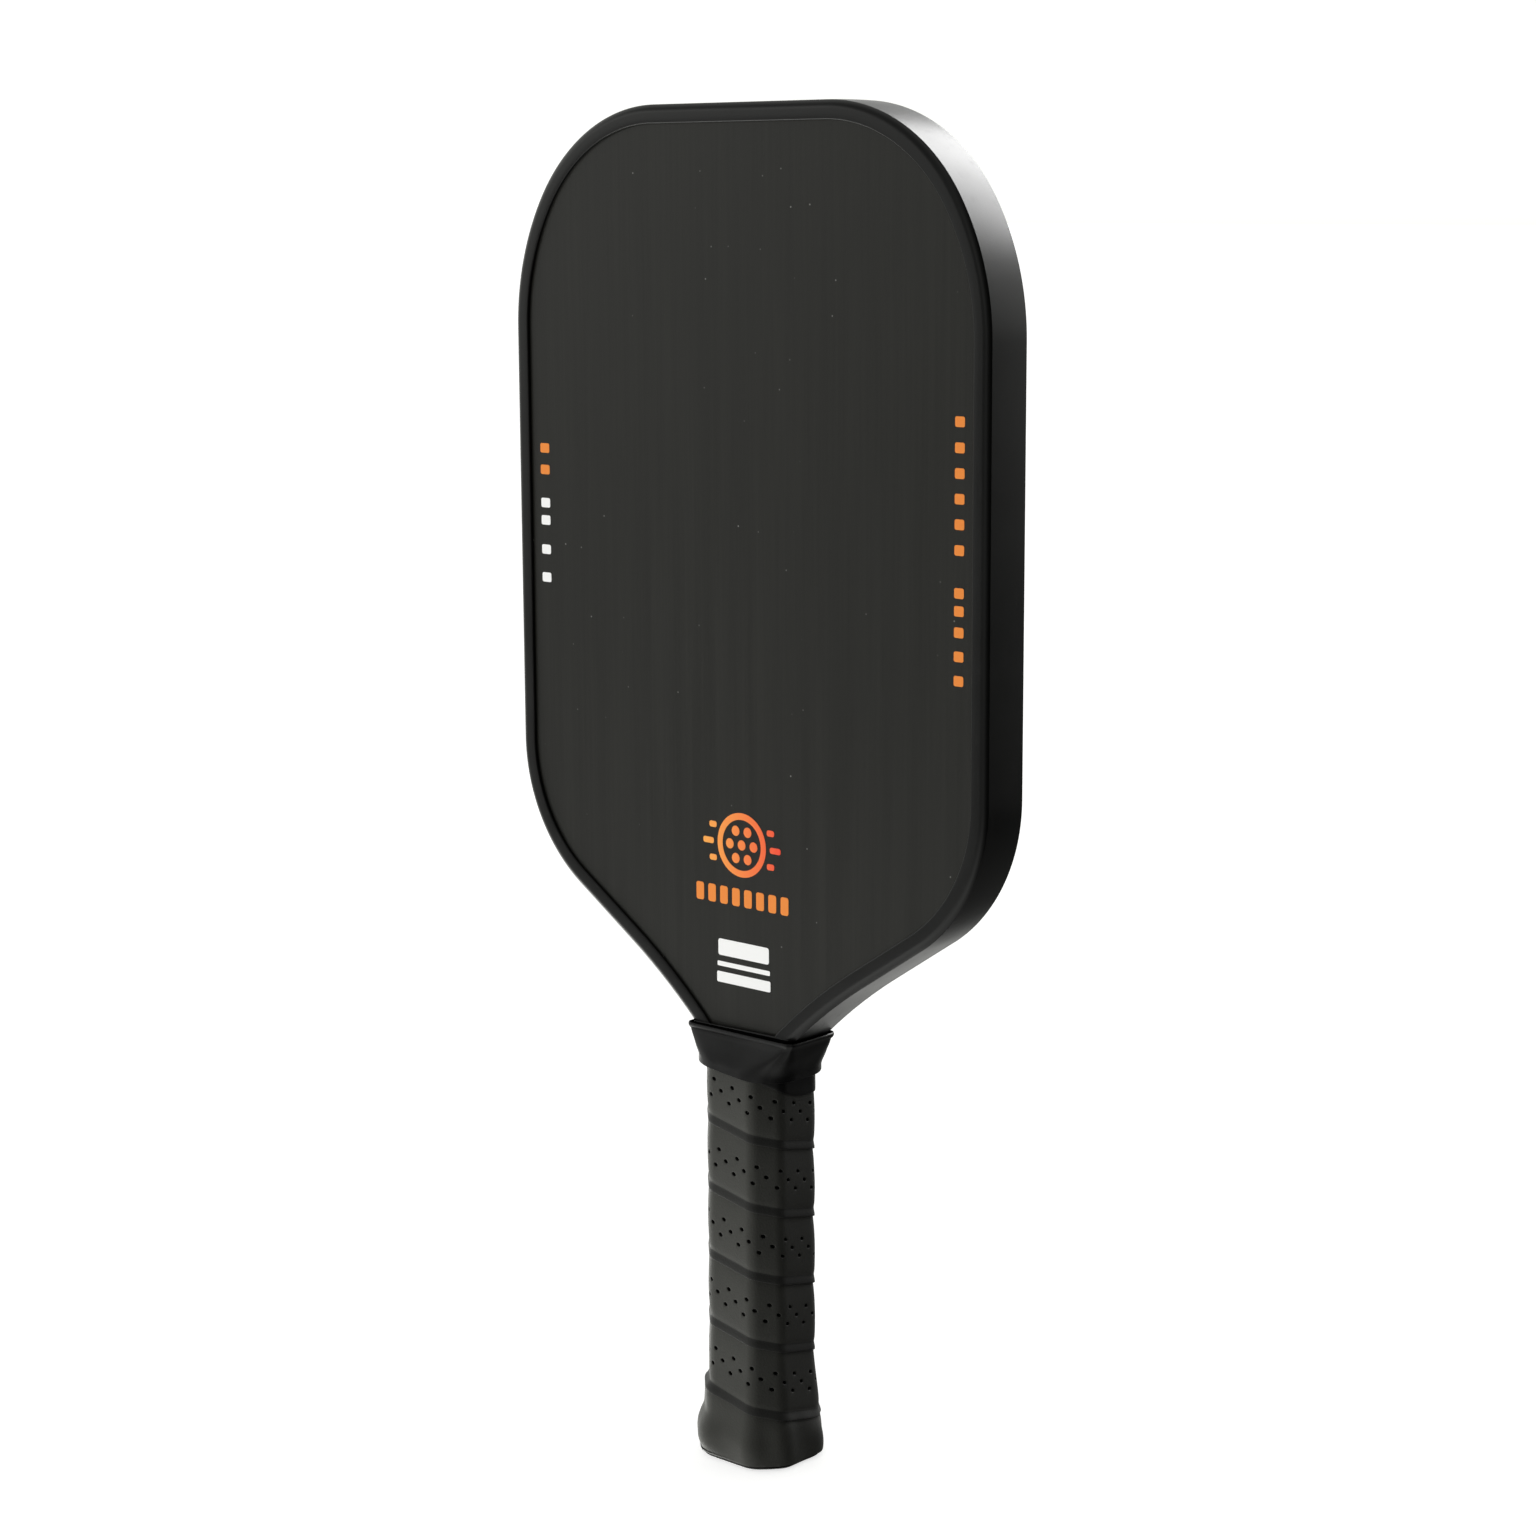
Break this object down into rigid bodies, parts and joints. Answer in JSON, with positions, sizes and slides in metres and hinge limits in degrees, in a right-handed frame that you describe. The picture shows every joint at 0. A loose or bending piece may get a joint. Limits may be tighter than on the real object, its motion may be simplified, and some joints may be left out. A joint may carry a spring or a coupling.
{
  "type": "pickleball paddle",
  "caption": "Pickleball paddle with a carbon-faced honeycomb panel, an edge guard, a wrapped octagonal handle and a rubber collar at the throat.",
  "frame": {"origin": "centre of the butt's flat end, where the paddle's base box meets the surface it stands on", "axes": "+Z along the handle from the butt to the top of the head, +X to the right across the face, +Y from the front face to the rear face"},
  "size_m": [0.1906, 0.0354, 0.4191],
  "materials": {
    "honeycomb": "translucent white polypropylene",
    "foam": "pale expanding foam",
    "bond_film": "cured adhesive film",
    "carbon_face": "raw carbon fibre with a fine peel-ply texture",
    "guard_plastic": "satin black moulded plastic",
    "bond_tape": "double-sided foam tape",
    "handle_foam": "dense grey polyurethane",
    "cap_plastic": "moulded black plastic",
    "badge_plastic": "blank glossy disc",
    "staple_steel": "galvanised wire",
    "grip_cushion": "matte perforated polyurethane cushion tape",
    "finishing_tape": "smooth black vinyl tape",
    "collar_rubber": "smooth black rubber"
  },
  "bodies": {
    "root": {"honeycomb_core": "honeycomb", "edge_foam": "foam", "front_bond_film": "bond_film", "rear_bond_film": "bond_film", "front_face_sheet": "carbon_face", "rear_face_sheet": "carbon_face", "edge_guard": "guard_plastic", "edge_guard_tape": "bond_tape", "front_handle_half": "handle_foam", "rear_handle_half": "handle_foam", "butt_cap": "cap_plastic", "butt_end_badge": "badge_plastic", "butt_cap_staples": "staple_steel", "grip_tape": "grip_cushion", "finishing_tape": "finishing_tape", "grip_collar": "collar_rubber"}
  },
  "joints": []
}
